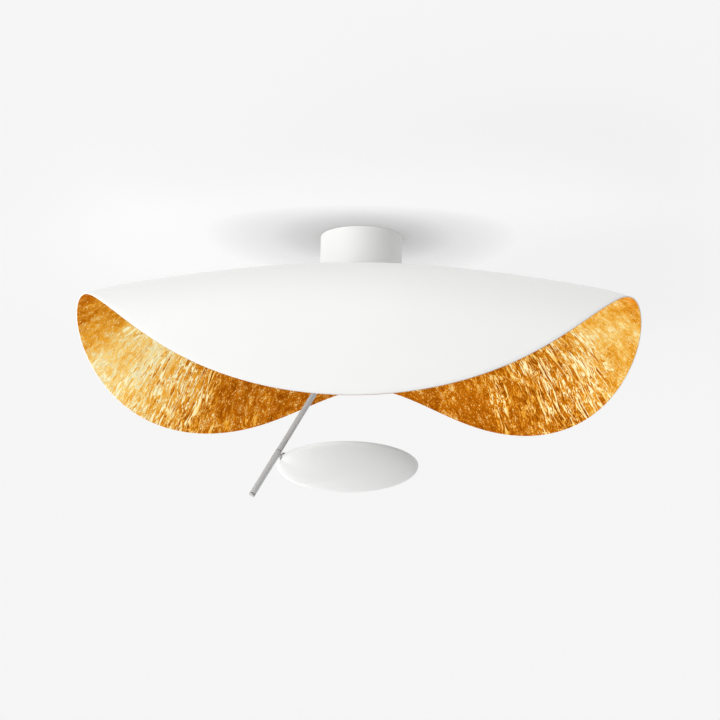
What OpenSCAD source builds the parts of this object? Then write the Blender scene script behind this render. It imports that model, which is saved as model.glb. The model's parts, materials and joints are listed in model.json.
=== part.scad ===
// Ceiling light with a shade folded from one round metal sheet, like a lotus leaf.
// The ceiling is the plane z = 0 and the light hangs below it, with the front fold of
// the shade towards -Y. A swivelling arm under the shade carries a round lamp head that
// shines up into the gilded underside. All sizes are in millimetres and degrees.

/* [Canopy] */
// Outside diameter of the canopy cup
canopy_d = 88; // [84:1:120]
// Height of the canopy cup
canopy_h = 40; // [38:1:60]
// Wall and floor of the canopy cup
canopy_wall = 1.2; // [0.8:0.1:2]
// Bevel round the lower edge of the canopy cup
canopy_bevel = 0.6; // [0.2:0.1:1.5]
// Diameter of the knurled nut under the canopy
canopy_nut_d = 26; // [18:1:34]
// Gap between canopy and shade, filled by the knurled nut
canopy_nut_h = 6; // [4:0.5:14]

/* [Ceiling fixing] */
// Thickness of the ceiling plate
plate_t = 1.5; // [1:0.1:2.5]
// Gap between the ceiling plate and the canopy wall
plate_gap = 2.8; // [1:0.1:4]
// Diameter of the cable hole in the ceiling plate
cable_hole_d = 22; // [10:1:30]
// Distance between the two ceiling screws
slot_spacing = 60; // [50:1:64]
// Width of the slots for the ceiling screws
slot_w = 4.5; // [4:0.1:5.5]
// End-to-end length of those slots
slot_l = 12; // [8:0.5:14]
// Width of the bridge strap
strap_w = 17; // [15:0.5:20]
// Thickness of the bridge strap
strap_t = 1.5; // [1:0.1:2.5]
// Drop of the bridge strap below the ceiling plate
strap_drop = 12; // [10:0.5:14]
// Length of the middle of the bridge strap
strap_span = 40; // [26:1:44]
// Diameter of the small screws in the plate and strap
small_screw_d = 4; // [3:0.1:4]
// Height of the small screw heads
small_head_h = 2.4; // [1.5:0.1:3.2]

/* [Electrics] */
// Length of the lamp driver
driver_l = 36; // [28:1:40]
// Width of the lamp driver
driver_w = 18; // [12:1:20]
// Height of the lamp driver
driver_h = 16; // [10:1:19]
// Thickness of the sticky pad under the driver
pad_t = 1; // [0.5:0.1:2]
// Length of the terminal block
terminal_l = 18; // [14:1:20]
// Width of the terminal block
terminal_w = 12; // [9:1:13]
// Height of the terminal block
terminal_h = 11; // [8:1:16]

/* [Stem] */
// Diameter of the threaded stem
stem_d = 10; // [8:0.5:12]
// Bore of the threaded stem
stem_bore = 7; // [4:0.5:7.5]
// Width across the flats of the stem nuts
nut_af = 14; // [13.5:0.5:16]
// Height of the stem nuts
nut_h = 4; // [3:0.5:6]
// Diameter of the washer that clamps the shade
washer_d = 36; // [24:1:60]
// Thickness of that washer
washer_t = 1.5; // [1:0.1:3]

/* [Shade] */
// Radius of the flat sheet before it is folded
sheet_r = 310; // [270:5:340]
// Thickness of the sheet
sheet_t = 1.2; // [0.8:0.1:2]
// Thickness of the gold leaf and its ground
leaf_t = 0.3; // [0.2:0.05:0.6]
// Radius of the level middle, where the sheet is clamped
level_r = 20; // [19.5:0.5:30]
// Slope that the dome reaches at the edge of the sheet
dome_slope = 11.5; // [4:0.5:18]
// Distance from the stem to the start of the front fold
front_start = 35; // [20:1:60]
// Width over which the front fold bends
front_width = 225; // [180:5:280]
// Angle that the front fold bends down
front_bend = 60; // [30:1:66]
// Direction of each back fold, from the front
back_azimuth = 125; // [115:1:135]
// Distance from the stem to the start of each back fold
back_start = 130; // [100:5:160]
// Width over which each back fold bends
back_width = 145; // [110:5:200]
// Angle that each back fold bends down
back_bend = 55; // [30:1:66]

/* [Swivel] */
// Diameter of the swivel neck
neck_d = 14; // [13:0.5:16]
// Length of the swivel neck
neck_l = 14; // [12:0.5:20]
// Diameter of the flange at the foot of the neck
flange_d = 18; // [17:0.5:19]
// Height of that flange
flange_h = 3; // [2:0.5:4]
// Outside diameter of the swivel housing
housing_d = 23; // [22:0.5:28]
// Thickness of the sliding washers in the swivel and on the arm
slip_t = 0.5; // [0.3:0.1:1]
// Height of the fork's plug inside the housing
plug_h = 6; // [4:0.5:9]
// Height of the fork's shoulder
shoulder_h = 2.5; // [1.5:0.5:5]
// Thickness of each ear of the fork
ear_t = 3; // [2:0.25:4]
// Radius of the ears round the pivot
ear_r = 6; // [5.5:0.25:7]
// Depth of the pivot below the top of the shade
pivot_below_shade = 45; // [44:0.5:60]
// Diameter of the pivot screw
pivot_d = 4; // [3:0.25:5]

/* [Arm] */
// Direction of the arm, from the left towards the front
arm_azimuth = 22; // [0:1:45]
// Tilt of the arm away from the plumb line
arm_tilt = 30; // [12:1:45]
// Length of the arm from its pivot to its tip
arm_l = 236; // [225:1:280]
// Outside diameter of the rod
rod_d = 6; // [5.75:0.25:8]
// Bore of the rod
rod_bore = 4; // [3:0.25:4.5]
// Radius of the eye at the top of the rod
eye_r = 5.5; // [4.5:0.25:6]
// Distance from the pivot to the lamp head's joint
joint_along = 183; // [170:1:190]
// Diameter of the spigot that the sleeve turns on
spigot_d = 5; // [4.5:0.25:5.25]
// Outside diameter of the turning sleeve
sleeve_d = 6.5; // [6.25:0.25:8]
// Length of the sleeve above the joint
sleeve_above = 5.4; // [4.5:0.2:20]
// Length of the end cap
cap_l = 2.3; // [1.5:0.1:5]

/* [Lamp head] */
// Diameter of the lamp head
head_d = 150; // [130:1:156]
// Depth of the dish
head_depth = 15.4; // [15:0.2:24]
// Wall of the dish
dish_wall = 1.5; // [1:0.1:2]
// Gap between the axis of the rod and the edge of the dish
head_gap = 5; // [4.8:0.1:8]
// Angle between the stub and the upper rod
stub_angle = 62; // [55:1:75]
// Diameter of the stub pin
stub_d = 3; // [2.5:0.1:3.2]
// Roll of the lamp head about its stub
head_roll = 7; // [0:1:20]
// Drop of the dish's edge below the stub's axis
rim_drop = 1; // [0:0.1:2]
// Width of the socket block
block_w = 8; // [6:0.5:12]
// Length of the socket block
block_l = 18; // [17:0.5:24]
// Thickness of the heat plate
heat_t = 1.5; // [1:0.1:2]
// Thickness of the light-emitting board
board_t = 1.6; // [1:0.1:2]
// Diameter of that board
board_d = 80; // [60:1:90]
// Number of light chips on the board
chips = 12; // [6:1:16]
// Thickness of the diffuser
diffuser_t = 1.9; // [1.5:0.1:2.2]

/* [Hidden] */
$fn = 72;

// Clearances: a seated fit, a threaded fit and a running fit
seat_gap = 0.02;
thread_gap = 0.05;
run_gap = 0.05;
side_gap = 0.1;
// Play of the stem in the sheet, and the bare ring left round the clamping washer
hole_play = 0.3;
leaf_margin = 1;
// Overshoot of a cut past a face
past = 1;

// Canopy and ceiling plate
canopy_in_r = canopy_d / 2 - canopy_wall;
plate_r = canopy_in_r - plate_gap;
floor_z = -canopy_h + canopy_wall;
shade_z = -canopy_h - canopy_nut_h;

// Bridge strap: its feet lie under the plate and its middle hangs lower
foot_w = 10;
foot_edge = 1;
foot_y = plate_r - foot_w / 2 - foot_edge;
foot_z = -plate_t - strap_t;
bridge_z = -plate_t - strap_drop;
small_head_r = small_screw_d * 0.9;
nut_corner_r = nut_af / 2 / cos(30);
stem_past_nut = 1;
stem_top_z = bridge_z + strap_t + nut_h + stem_past_nut;

// Electrics inside the canopy, with their gaps to nut, strap and slots
driver_gap = 3;
terminal_gap = [1, 5];
earth_gap = [4, 6];
driver_x = nut_corner_r + driver_gap;
terminal_pos = [
    -strap_w / 2 - terminal_l / 2 - terminal_gap.x, slot_w / 2 + terminal_w / 2 + terminal_gap.y
];
earth_pos = [strap_w / 2 + small_head_r + earth_gap.x, slot_w / 2 + small_head_r + earth_gap.y];
terminal_ways = 3;
lead_hole_r = 1.5;
lead_hole_depth = 2;

// Stem stack under the shade
washer_z = shade_z - sheet_t;
shade_nut_z = washer_z - washer_t;
neck_z = shade_nut_z - nut_h;
flange_top_z = neck_z - neck_l;
flange_z = flange_top_z - flange_h;
thread_stop = 2;
thread_depth = neck_l - thread_stop;
stem_z = neck_z - thread_depth;
hole_r = stem_d / 2 + hole_play;
leaf_hole_r = washer_d / 2 + leaf_margin;

// Swivel and fork
housing_gap = 2.5;
housing_top_z = neck_z - housing_gap;
upper_slip_z = flange_top_z + slip_t;
plug_z = flange_z - slip_t;
housing_z = plug_z - plug_h;
shoulder_z = housing_z - shoulder_h;
pivot_z = shade_z - pivot_below_shade;
cavity_r = flange_d / 2 + side_gap;
wire_r = 2;
eye_t = rod_d + 2 * side_gap;
ear_gap = eye_t + 2 * side_gap;
ear_out = ear_gap / 2 + ear_t;
screw_head_r = pivot_d * 0.95;
screw_head_h = pivot_d * 0.55;
pivot_nut_af = pivot_d * 1.75;
pivot_nut_h = pivot_d * 0.6;
screw_past_nut = 0.6;

// Arm, measured along the rod from the pivot
eye_neck = 4.5;
eye_shank = eye_r + eye_neck;
plug_l = 10;
cap_at = arm_l - cap_l;
sleeve_at = joint_along - sleeve_above;
rod_end = sleeve_at - slip_t - seat_gap;
sleeve_end = cap_at - slip_t - seat_gap;
cap_stud_r = 1.4;
cap_stud_l = 7;

// Lamp head, in the frame of its stub
head_r = head_d / 2;
head_reach = head_gap + head_r;
boss_wall = 0.75;
boss_r = stub_d / 2 + boss_wall;
boss_end = head_gap - 0.3;
block_at = head_gap + 0.9;
block_end = block_at + block_l;
block_roof = 1.1;
block_top = stub_d / 2 + block_roof;
pin_at = (spigot_d / 2 + 2 * run_gap + stub_d / 2 * cos(stub_angle)) / sin(stub_angle);
pin_end = block_at + block_l * 0.66;
pin_gap = 0.04;
grub_r = 1.25;
socket_screw_r = 1.5;
socket_wall = 1.2;
socket_screw_x = pin_end + socket_wall + socket_screw_r;

// Depths inside the dish, below its edge
inner_r = head_r - dish_wall;
inner_depth = head_depth - dish_wall;
diffuser_top = 0.4;
ledge_top = diffuser_top + diffuser_t;
ledge_h = 1.6;
ledge_w = 3;
chip_h = 0.7;
chip_space = 1.6;
board_top = ledge_top + chip_space;
heat_top = board_top + board_t;
heat_bottom = heat_top + heat_t;
diffuser_r = dish_inside(ledge_top) - 0.3;
ledge_r = dish_inside(ledge_top + ledge_h) - ledge_w;
heat_r = dish_inside(heat_bottom) - 0.4;
post_inset = 11;
post_at = heat_r - post_inset;
post_r = 3.2;
plate_screws = 3;
plate_screw_r = 1.25;
plate_head_r = 2.6;
plate_head_h = 1.4;
chip_ring_r = board_d * 0.35;
chip_w = 3;
dish_steps = 14;

// Grid of the folded sheet: directions round the stem and rings outwards
sheet_dirs = 64;
sheet_rings = 14;
table_steps = 80;

// Inner radius of the dish at a depth below its edge
function dish_inside(depth) = inner_r * sqrt(1 - pow(depth / inner_depth, 2));

// Depth of the dish's inner face at a radius
function dish_floor(r) = inner_depth * sqrt(1 - pow(r / inner_r, 2));

// A curve whose slope grows with distance: pairs of distance and reach, and of distance
// and drop, summed in small steps
function smooth(u) = u * u * (3 - 2 * u);
function fold_slope(t, bend, width) = bend * smooth(min(1, max(0, t / width)));
function dome_angle(s) = dome_slope * sqrt(max(0, s - level_r) / (sheet_r - level_r));
function fold_reach(bend, width, step = sheet_r * 1.2 / table_steps) = [
    for (i = 0, x = 0; i <= table_steps;
        x = x + step * cos(fold_slope((i + 0.5) * step, bend, width)), i = i + 1) [i * step, x]
];
function fold_drop(bend, width, step = sheet_r * 1.2 / table_steps) = [
    for (i = 0, z = 0; i <= table_steps;
        z = z + step * sin(fold_slope((i + 0.5) * step, bend, width)), i = i + 1) [i * step, z]
];
dome_step = sheet_r * 1.05 / table_steps;
dome_reach = [
    for (i = 0, x = 0; i <= table_steps;
        x = x + dome_step * cos(dome_angle((i + 0.5) * dome_step)), i = i + 1) [i * dome_step, x]
];
dome_drop = [
    for (i = 0, z = 0; i <= table_steps;
        z = z + dome_step * sin(dome_angle((i + 0.5) * dome_step)), i = i + 1) [i * dome_step, z]
];

// Each fold: its direction from the front, where it starts, its reach and its drop
front_reach = fold_reach(front_bend, front_width);
front_drop = fold_drop(front_bend, front_width);
back_reach = fold_reach(back_bend, back_width);
back_drop = fold_drop(back_bend, back_width);
folds = [
    [0, front_start, front_reach, front_drop],
    [back_azimuth, back_start, back_reach, back_drop],
    [-back_azimuth, back_start, back_reach, back_drop]
];
function direction(a) = [sin(a), -cos(a)];
function fold_shift(flat, fold) =
    let (n = direction(fold[0]), t = max(0, flat * n - fold[1]), back = t - lookup(t, fold[2]))
    [-n.x * back, -n.y * back, -lookup(t, fold[3])];

// A point of the folded sheet's upper face, from its place on the flat sheet
function sheet_point(s, a) =
    let (d = direction(a), flat = s * d, r = lookup(s, dome_reach))
    [r * d.x, r * d.y, shade_z - lookup(s, dome_drop)]
        + fold_shift(flat, folds[0]) + fold_shift(flat, folds[1]) + fold_shift(flat, folds[2]);

// The upward normal there, from points a little way off
normal_step = 4;
normal_turn = 1;
function unit(v) = v / norm(v);
function sheet_normal(s, a) =
    s <= level_r ? [0, 0, 1] :
    unit(cross(
        sheet_point(s + normal_step, a) - sheet_point(s - normal_step, a),
        sheet_point(s, a + normal_turn) - sheet_point(s, a - normal_turn)));
function sheet_layer(rings, depth) = [
    for (s = rings) for (i = [0:sheet_dirs - 1])
        let (a = i * 360 / sheet_dirs) sheet_point(s, a) - depth * sheet_normal(s, a)
];
leaf_rings = [for (j = [0:sheet_rings]) leaf_hole_r + (sheet_r - leaf_hole_r) * j / sheet_rings];
sheet_rings_all = concat([hole_r], leaf_rings);

// Two triangles for a quad of the grid, by its corners
function split(a, b, c, d) = [[a, b, c], [a, c, d]];

// A closed skin between two layers of the folded sheet
module folded_skin(rings, top_depth, bottom_depth) {
    n = sheet_dirs;
    last = len(rings) - 1;
    low = len(rings) * n;
    faces = [
        for (i = [0:n - 1]) let (k = (i + 1) % n) each concat(
            [for (j = [0:last - 1]) each split(j * n + i, j * n + k, (j + 1) * n + k, (j + 1) * n + i)],
            [for (j = [0:last - 1]) each [
                [low + (j + 1) * n + k, low + j * n + k, low + j * n + i],
                [low + (j + 1) * n + i, low + (j + 1) * n + k, low + j * n + i]]],
            split(last * n + i, last * n + k, low + last * n + k, low + last * n + i),
            split(low + i, low + k, k, i))
    ];
    polyhedron(concat(sheet_layer(rings, top_depth), sheet_layer(rings, bottom_depth)), faces);
}

// Shared shapes
module ring(outer_r, bore_r, h) {
    difference() {
        cylinder(h = h, r = outer_r);
        translate([0, 0, -past]) cylinder(h = h + 2 * past, r = bore_r);
    }
}

module hex_nut(af, bore_r, h) {
    difference() {
        cylinder(h = h, r = af / 2 / cos(30), $fn = 6);
        translate([0, 0, -past]) cylinder(h = h + 2 * past, r = bore_r);
    }
}

module pan_screw(head_r, head_h, shank_r, shank_l) {
    translate([0, 0, -head_h]) cylinder(h = head_h, r1 = head_r * 0.8, r2 = head_r);
    cylinder(h = shank_l, r = shank_r);
}

module slot(l, w, h) {
    translate([-(l - w) / 2, 0, 0]) cylinder(h = h, r = w / 2);
    translate([(l - w) / 2, 0, 0]) cylinder(h = h, r = w / 2);
    translate([-(l - w) / 2, -w / 2, 0]) cube([l - w, w, h]);
}

// Frames: the arm's z axis runs up its rod from the pivot, and the head's x axis runs
// along its stub from the rod's axis
module at_swivel() {
    rotate([0, 0, 180 + arm_azimuth]) children();
}

module at_pivot() {
    at_swivel() translate([0, 0, pivot_z]) children();
}

module at_arm() {
    at_pivot() rotate([0, -arm_tilt, 0]) children();
}

module at_stub() {
    at_arm() translate([0, 0, -joint_along]) rotate([0, 90 - stub_angle, 0]) rotate([0, 0, 180])
        children();
}

module at_head() {
    at_stub() rotate([-head_roll, 0, 0]) children();
}

// The dish's own frame: its centre, level with its edge
module at_dish() {
    at_head() translate([head_reach, 0, -rim_drop]) children();
}

module plate_screw_places() {
    for (i = [0:plate_screws - 1]) rotate([0, 0, i * 360 / plate_screws])
        translate([post_at, 0, 0]) children();
}

// Parts inside the canopy
module ceiling_plate() {
    color("silver") difference() {
        translate([0, 0, -plate_t]) cylinder(h = plate_t, r = plate_r);
        translate([0, 0, -plate_t - past]) cylinder(h = plate_t + 2 * past, d = cable_hole_d);
        for (side = [-1, 1]) {
            translate([side * slot_spacing / 2, 0, -plate_t - past])
                slot(slot_l, slot_w, plate_t + 2 * past);
            translate([0, side * foot_y, -plate_t - past])
                cylinder(h = plate_t + 2 * past, d = small_screw_d + 2 * seat_gap);
        }
        translate([earth_pos.x, earth_pos.y, -plate_t - past])
            cylinder(h = plate_t + 2 * past, d = small_screw_d + 2 * seat_gap);
    }
}

module bridge_strap() {
    color("silver") difference() {
        union() {
            for (side = [-1, 1]) {
                translate([-strap_w / 2, side * foot_y - foot_w / 2, foot_z])
                    cube([strap_w, foot_w, strap_t]);
                mirror([0, side < 0 ? 1 : 0, 0]) strap_leg();
            }
            translate([-strap_w / 2, -strap_span / 2, bridge_z])
                cube([strap_w, strap_span, strap_t]);
        }
        translate([0, 0, bridge_z - past])
            cylinder(h = strap_t + 2 * past, d = stem_d + 2 * thread_gap);
        for (side = [-1, 1]) translate([0, side * foot_y, foot_z - past])
            cylinder(h = strap_t + 2 * past, d = small_screw_d + 2 * seat_gap);
    }
}

// The sloping leg between the strap's middle and one foot
module strap_leg() {
    inner_y = strap_span / 2;
    outer_y = foot_y - foot_w / 2;
    rotate([90, 0, 90]) translate([0, 0, -strap_w / 2]) linear_extrude(strap_w)
        polygon([
            [inner_y - strap_t, bridge_z], [inner_y, bridge_z], [outer_y + strap_t, foot_z],
            [outer_y + strap_t, foot_z + strap_t], [outer_y, foot_z + strap_t],
            [inner_y - strap_t, bridge_z + strap_t]
        ]);
}

module strap_screws() {
    color("gainsboro") for (side = [-1, 1]) translate([0, side * foot_y, foot_z])
        pan_screw(small_head_r, small_head_h, small_screw_d / 2, strap_t + plate_t);
}

module earth_screw() {
    color("goldenrod") translate([earth_pos.x, earth_pos.y, -plate_t])
        pan_screw(small_head_r, small_head_h, small_screw_d / 2, plate_t);
}

module terminal_block() {
    pitch = terminal_l / terminal_ways;
    color("whitesmoke") translate([terminal_pos.x, terminal_pos.y, -plate_t - terminal_h])
        difference() {
            translate([-terminal_l / 2, -terminal_w / 2, 0]) cube([terminal_l, terminal_w, terminal_h]);
            for (i = [0:terminal_ways - 1])
                translate([(i - (terminal_ways - 1) / 2) * pitch, 0, terminal_h / 2]) {
                    rotate([90, 0, 0]) cylinder(h = terminal_w + 2 * past, r = pitch * 0.28, center = true);
                    translate([0, 0, -terminal_h / 2 - past]) cylinder(h = terminal_h / 2, r = pitch * 0.24);
                }
        }
}

module upper_stem_nut() {
    color("silver") translate([0, 0, bridge_z + strap_t]) hex_nut(nut_af, stem_d / 2 + seat_gap, nut_h);
}

module lower_stem_nut() {
    color("silver") translate([0, 0, bridge_z - nut_h]) hex_nut(nut_af, stem_d / 2 + seat_gap, nut_h);
}

module stem_tube() {
    color("silver") translate([0, 0, stem_z]) ring(stem_d / 2, stem_bore / 2, stem_top_z - stem_z);
}

module driver() {
    color("ivory") translate([driver_x, -driver_l / 2, floor_z + pad_t]) difference() {
        cube([driver_w, driver_l, driver_h]);
        for (side = [-1, 1]) translate([driver_w / 2, driver_l / 2 + side * driver_l / 2, driver_h / 2])
            rotate([90, 0, 0]) cylinder(h = 2 * lead_hole_depth, r = lead_hole_r, center = true);
    }
}

module driver_pad() {
    edge = 1;
    color("dimgray") translate([driver_x + edge, -driver_l / 2 + edge, floor_z])
        cube([driver_w - 2 * edge, driver_l - 2 * edge, pad_t]);
}

module canopy_cup() {
    r = canopy_d / 2;
    bore = stem_d / 2 + 0.2;
    color("white") rotate_extrude() polygon([
        [bore, -canopy_h], [r - canopy_bevel, -canopy_h], [r, -canopy_h + canopy_bevel], [r, 0],
        [canopy_in_r, 0], [canopy_in_r, floor_z], [bore, floor_z]
    ]);
}

module canopy_nut() {
    notches = 36;
    notch_r = 0.45;
    color("white") translate([0, 0, shade_z]) difference() {
        ring(canopy_nut_d / 2, stem_d / 2 + seat_gap, canopy_nut_h);
        for (i = [0:notches - 1]) rotate([0, 0, i * 360 / notches])
            translate([canopy_nut_d / 2, 0, 1]) cylinder(h = canopy_nut_h - 2, r = notch_r, $fn = 4);
    }
}

// Shade
module shade_sheet() {
    color("white") folded_skin(sheet_rings_all, 0, sheet_t);
}

module gold_leaf() {
    color("goldenrod") folded_skin(leaf_rings, sheet_t, sheet_t + leaf_t);
}

module shade_washer() {
    color("silver") translate([0, 0, shade_nut_z]) ring(washer_d / 2, stem_d / 2 + seat_gap, washer_t);
}

module shade_nut() {
    color("silver") translate([0, 0, neck_z]) hex_nut(nut_af, stem_d / 2 + seat_gap, nut_h);
}

// Swivel under the shade
module swivel_neck() {
    color("silver") difference() {
        union() {
            translate([0, 0, flange_top_z]) cylinder(h = neck_l, d = neck_d);
            translate([0, 0, flange_z]) cylinder(h = flange_h, d = flange_d);
        }
        translate([0, 0, stem_z]) cylinder(h = thread_depth + past, r = stem_d / 2 + seat_gap);
        translate([0, 0, flange_z - past]) cylinder(h = neck_l + flange_h + past, d = stem_bore);
    }
}

module upper_slip_washer() {
    color("ivory") translate([0, 0, flange_top_z])
        ring(flange_d / 2 - side_gap, neck_d / 2 + run_gap, slip_t);
}

module lower_slip_washer() {
    color("ivory") translate([0, 0, plug_z]) ring(flange_d / 2 - side_gap, stem_bore / 2, slip_t);
}

module swivel_housing() {
    bevel = 0.8;
    outer = housing_d / 2;
    bore = neck_d / 2 + run_gap;
    color("silver") rotate_extrude() polygon([
        [bore, housing_top_z], [outer - bevel, housing_top_z], [outer, housing_top_z - bevel],
        [outer, housing_z], [cavity_r, housing_z], [cavity_r, upper_slip_z], [bore, upper_slip_z]
    ]);
}

module fork() {
    bevel = 0.8;
    outer = housing_d / 2;
    color("silver") at_pivot() difference() {
        union() {
            translate([0, 0, housing_z - pivot_z]) cylinder(h = plug_h, r = cavity_r - seat_gap);
            translate([0, 0, shoulder_z - pivot_z]) rotate_extrude() polygon([
                [0, 0], [outer - bevel, 0], [outer, bevel], [outer, shoulder_h], [0, shoulder_h]
            ]);
            for (side = [-1, 1]) translate([0, side * (ear_gap + ear_t) / 2, 0]) fork_ear();
        }
        rotate([90, 0, 0]) cylinder(h = 2 * ear_out + 2 * past, r = pivot_d / 2 + seat_gap, center = true);
        translate([0, 0, shoulder_z - pivot_z - past])
            cylinder(h = plug_h + shoulder_h + 2 * past, r = wire_r);
    }
}

module fork_ear() {
    rotate([90, 0, 0]) cylinder(h = ear_t, r = ear_r, center = true);
    translate([-ear_r, -ear_t / 2, 0]) cube([2 * ear_r, ear_t, shoulder_z - pivot_z + 0.5]);
}

module pivot_screw() {
    color("gainsboro") at_pivot() rotate([90, 0, 0]) {
        translate([0, 0, -ear_out - pivot_nut_h - screw_past_nut])
            cylinder(h = 2 * ear_out + pivot_nut_h + screw_past_nut, r = pivot_d / 2);
        difference() {
            translate([0, 0, ear_out])
                cylinder(h = screw_head_h, r1 = screw_head_r, r2 = screw_head_r * 0.85);
            translate([0, 0, ear_out + screw_head_h * 0.4])
                cylinder(h = screw_head_h, r = pivot_d * 0.36, $fn = 6);
        }
    }
}

module pivot_nut() {
    color("gainsboro") at_pivot() rotate([90, 0, 0]) translate([0, 0, -ear_out - pivot_nut_h])
        hex_nut(pivot_nut_af, pivot_d / 2 + seat_gap, pivot_nut_h);
}

// Arm
module rod_eye() {
    color("silver") at_arm() difference() {
        union() {
            rotate([90, 0, 0]) cylinder(h = eye_t, r = eye_r, center = true);
            translate([0, 0, -eye_shank]) cylinder(h = eye_shank - eye_r * 0.6, d = rod_d);
            translate([0, 0, -eye_shank - plug_l]) cylinder(h = plug_l + past, r = rod_bore / 2 - seat_gap);
        }
        rotate([90, 0, 0]) cylinder(h = eye_t + 2 * past, r = pivot_d / 2 + run_gap, center = true);
    }
}

module rod_tube() {
    color("silver") at_arm() translate([0, 0, -rod_end])
        ring(rod_d / 2, rod_bore / 2, rod_end - eye_shank);
}

module spigot() {
    spigot_end = cap_at;
    color("silver") at_arm() difference() {
        union() {
            translate([0, 0, -rod_end]) cylinder(h = plug_l, r = rod_bore / 2 - seat_gap);
            translate([0, 0, -spigot_end]) cylinder(h = spigot_end - rod_end, d = spigot_d);
        }
        translate([0, 0, -spigot_end - past]) cylinder(h = cap_stud_l + past, r = cap_stud_r + seat_gap);
    }
}

module sleeve_slip_ring() {
    ring(sleeve_d / 2 - 0.1, spigot_d / 2 + 2 * run_gap, slip_t);
}

module sleeve_top_washer() {
    color("dimgray") at_arm() translate([0, 0, -rod_end - slip_t]) sleeve_slip_ring();
}

module sleeve_end_washer() {
    color("dimgray") at_arm() translate([0, 0, -cap_at]) sleeve_slip_ring();
}

module end_cap() {
    dome = cap_l * 0.45;
    r = sleeve_d / 2;
    color("gray") at_arm() {
        translate([0, 0, -cap_at]) rotate_extrude() polygon([
            [0, 0], [r, 0], [r, -cap_l + dome], [r * 0.88, -cap_l + dome * 0.4],
            [r * 0.6, -cap_l], [0, -cap_l]
        ]);
        translate([0, 0, -cap_at - 0.1]) cylinder(h = cap_stud_l, r = cap_stud_r);
    }
}

module grip_sleeve() {
    color("silver") difference() {
        union() {
            at_arm() translate([0, 0, -sleeve_end]) cylinder(h = sleeve_end - sleeve_at, d = sleeve_d);
            at_stub() rotate([0, 90, 0]) cylinder(h = boss_end, r = boss_r);
        }
        at_arm() translate([0, 0, -sleeve_end - past])
            cylinder(h = sleeve_end - sleeve_at + 2 * past, r = spigot_d / 2 + run_gap);
        at_stub() translate([pin_at, 0, 0]) rotate([0, 90, 0])
            cylinder(h = boss_end, r = stub_d / 2 + seat_gap);
    }
}

module stub_pin() {
    color("silver") at_stub() translate([pin_at + seat_gap, 0, 0]) rotate([0, 90, 0])
        cylinder(h = pin_end - pin_at - seat_gap, r = stub_d / 2);
}

// Lamp head
module socket_block() {
    foot_x = head_gap + head_r - dish_inside(heat_top) + 0.6;
    bottom = rim_drop + heat_top;
    color("silver") at_head() difference() {
        union() {
            translate([block_at, -block_w / 2, -rim_drop - ledge_top])
                cube([block_l, block_w, block_top + rim_drop + ledge_top]);
            translate([foot_x, -block_w / 2, -bottom])
                cube([block_end - foot_x, block_w, bottom - rim_drop]);
        }
        translate([block_at - past, 0, 0]) rotate([0, 90, 0])
            cylinder(h = pin_end - block_at + past + 0.3, r = stub_d / 2 + pin_gap);
        translate([(block_at + pin_end) / 2, 0, 0]) cylinder(h = block_top + past, r = grub_r + seat_gap);
        translate([socket_screw_x, 0, -bottom - past])
            cylinder(h = bottom + block_top + 2 * past, r = socket_screw_r + seat_gap);
    }
}

module socket_screw() {
    bottom = rim_drop + heat_bottom;
    color("gainsboro") at_head() difference() {
        translate([socket_screw_x, 0, -bottom]) cylinder(h = bottom + block_top, r = socket_screw_r);
        translate([socket_screw_x, 0, block_top - 1])
            cylinder(h = 1 + past, r = socket_screw_r * 0.55, $fn = 6);
    }
}

module pin_set_screw() {
    low = stub_d / 2 + pin_gap + 0.02;
    color("dimgray") at_head() translate([(block_at + pin_end) / 2, 0, low])
        cylinder(h = block_top - low, r = grub_r);
}

module head_dish() {
    outer = [for (k = [0:dish_steps]) let (a = 90 * k / dish_steps) [head_r * cos(a), -head_depth * sin(a)]];
    ledge_out = dish_inside(ledge_top + ledge_h);
    floor_from = asin((ledge_top + ledge_h) / inner_depth);
    inner = [for (k = [0:dish_steps]) let (a = 90 - (90 - floor_from) * k / dish_steps)
        [inner_r * cos(a), -inner_depth * sin(a)]];
    ledge = [
        [ledge_r, -ledge_top - ledge_h], [ledge_r, -ledge_top],
        [dish_inside(ledge_top), -ledge_top], [inner_r, 0]
    ];
    color("white") at_dish() difference() {
        union() {
            rotate_extrude() polygon(concat(outer, inner, ledge));
            plate_screw_places() translate([0, 0, -dish_floor(post_at) - dish_wall * 0.6])
                cylinder(h = dish_floor(post_at) + dish_wall * 0.6 - heat_bottom, r = post_r);
        }
        plate_screw_places() translate([0, 0, -dish_floor(post_at)])
            cylinder(h = head_depth, r = plate_screw_r + seat_gap);
        translate([-head_r - past, -block_w / 2 - 0.1, -ledge_top])
            cube([head_r + past - (inner_r - ledge_w * 2), block_w + 0.2, ledge_top + past]);
    }
}

module heat_plate() {
    color("silver") at_dish() difference() {
        translate([0, 0, -heat_bottom]) cylinder(h = heat_t, r = heat_r);
        plate_screw_places() translate([0, 0, -heat_bottom - past])
            cylinder(h = heat_t + 2 * past, r = plate_screw_r + seat_gap);
        translate([socket_screw_x - head_reach, 0, -heat_bottom - past])
            cylinder(h = heat_t + 2 * past, r = socket_screw_r + seat_gap);
    }
}

module heat_plate_screws() {
    depth = dish_floor(post_at) - heat_top - 0.1;
    color("gainsboro") at_dish() plate_screw_places() translate([0, 0, -heat_top]) {
        cylinder(h = plate_head_h, r1 = plate_head_r, r2 = plate_head_r * 0.8);
        translate([0, 0, -depth]) cylinder(h = depth, r = plate_screw_r);
    }
}

module light_board() {
    color("whitesmoke") at_dish() translate([0, 0, -heat_top]) cylinder(h = board_t, d = board_d);
}

module light_chips() {
    color("khaki") at_dish() for (i = [0:chips - 1]) rotate([0, 0, i * 360 / chips])
        translate([chip_ring_r - chip_w / 2, -chip_w / 2, -board_top]) cube([chip_w, chip_w, chip_h]);
}

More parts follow.
